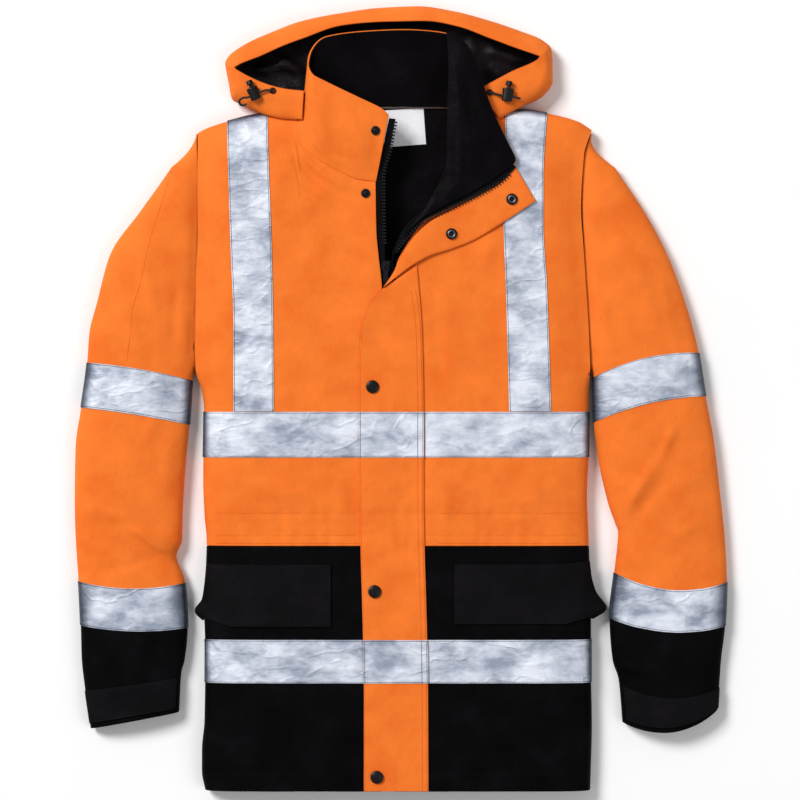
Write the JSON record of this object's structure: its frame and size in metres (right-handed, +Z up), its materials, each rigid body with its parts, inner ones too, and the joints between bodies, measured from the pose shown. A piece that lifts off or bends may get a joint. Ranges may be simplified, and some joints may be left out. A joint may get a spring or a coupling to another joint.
{
  "type": "hi-vis work jacket",
  "caption": "Hooded hi-vis work parka laid flat front up: orange and black cloth, reflective tapes, storm flap, neck laid open with the lapel turned back.",
  "frame": {"origin": "on the floor under the middle of the jacket's bounding box", "axes": "+Y from the hem to the hood, +X to the wearer's left, +Z up out of the front; the jacket lies on its back"},
  "size_m": [0.757, 0.908, 0.0467],
  "materials": {
    "orange_cloth": "matt coated polyester in fluorescent orange",
    "black_cloth": "matt coated polyester in black",
    "lining_cloth": "smooth black lining with a faint sheen",
    "reflective_tape": "silver grey retroreflective tape",
    "snap_metal": "black lacquered metal",
    "zip_tape": "woven black tape with moulded teeth",
    "lock_plastic": "moulded black plastic",
    "cord_cloth": "braided black cord",
    "label_cloth": "plain white satin, blank"
  },
  "bodies": {
    "jacket": {"front_upper_right": "orange_cloth", "front_upper_left": "orange_cloth", "back_upper": "orange_cloth", "sleeve_right": "orange_cloth", "sleeve_left": "orange_cloth", "storm_flap": "orange_cloth", "storm_flap_top": "orange_cloth", "lapel_shell": "orange_cloth", "collar_shell": "orange_cloth", "hood_brim": "orange_cloth", "hood_shell": "orange_cloth", "front_lower_right": "black_cloth", "front_lower_left": "black_cloth", "back_lower": "black_cloth", "sleeve_lower_right": "black_cloth", "sleeve_lower_left": "black_cloth", "cuff_tab_right": "black_cloth", "cuff_tab_left": "black_cloth", "pocket_flap_right": "black_cloth", "pocket_flap_left": "black_cloth", "lapel_lining": "lining_cloth", "collar_lining": "lining_cloth", "back_lining": "lining_cloth", "hood_lining": "lining_cloth", "tape_sleeve_upper_right": "reflective_tape", "tape_sleeve_lower_right": "reflective_tape", "tape_sleeve_upper_left": "reflective_tape", "tape_sleeve_lower_left": "reflective_tape", "tape_chest_right": "reflective_tape", "tape_chest_left": "reflective_tape", "tape_chest_flap": "reflective_tape", "tape_back_chest": "reflective_tape", "tape_hem_right": "reflective_tape", "tape_hem_left": "reflective_tape", "tape_hem_flap": "reflective_tape", "tape_back_hem": "reflective_tape", "tape_shoulder_right": "reflective_tape", "tape_shoulder_left": "reflective_tape", "tape_back_right": "reflective_tape", "tape_back_left": "reflective_tape", "snap_cap_chest": "snap_metal", "snap_cap_pocket": "snap_metal", "snap_cap_hem": "snap_metal", "snap_stud_front": "snap_metal", "snap_stud_collar": "snap_metal", "snap_socket_low": "snap_metal", "snap_socket_high": "snap_metal", "zip_slider": "snap_metal", "eyelet_right": "snap_metal", "eyelet_left": "snap_metal", "zip_right": "zip_tape", "zip_left": "zip_tape", "cord_lock_right": "lock_plastic", "cord_lock_left": "lock_plastic", "cord_right": "cord_cloth", "cord_left": "cord_cloth", "neck_label": "label_cloth"},
    "zip_pull": {"zip_pull": "snap_metal"},
    "plunger_right": {"cord_plunger_right": "lock_plastic"},
    "plunger_left": {"cord_plunger_left": "lock_plastic"}
  },
  "joints": [
    {"name": "zip_pull_hinge", "type": "hinge", "parent": "jacket", "child": "zip_pull", "pos_m": [-0.0178, 0.152, 0.0365], "axis": [-1, 0, 0], "range_deg": [0, 150]},
    {"name": "plunger_right_slide", "type": "slide", "parent": "jacket", "child": "plunger_right", "axis": [0.3746, -0.9272, 0], "range_m": [0, 0.003], "stiffness_N_per_m": 400},
    {"name": "plunger_left_slide", "type": "slide", "parent": "jacket", "child": "plunger_left", "axis": [-0.1392, -0.9903, 0], "range_m": [0, 0.003], "stiffness_N_per_m": 400}
  ]
}
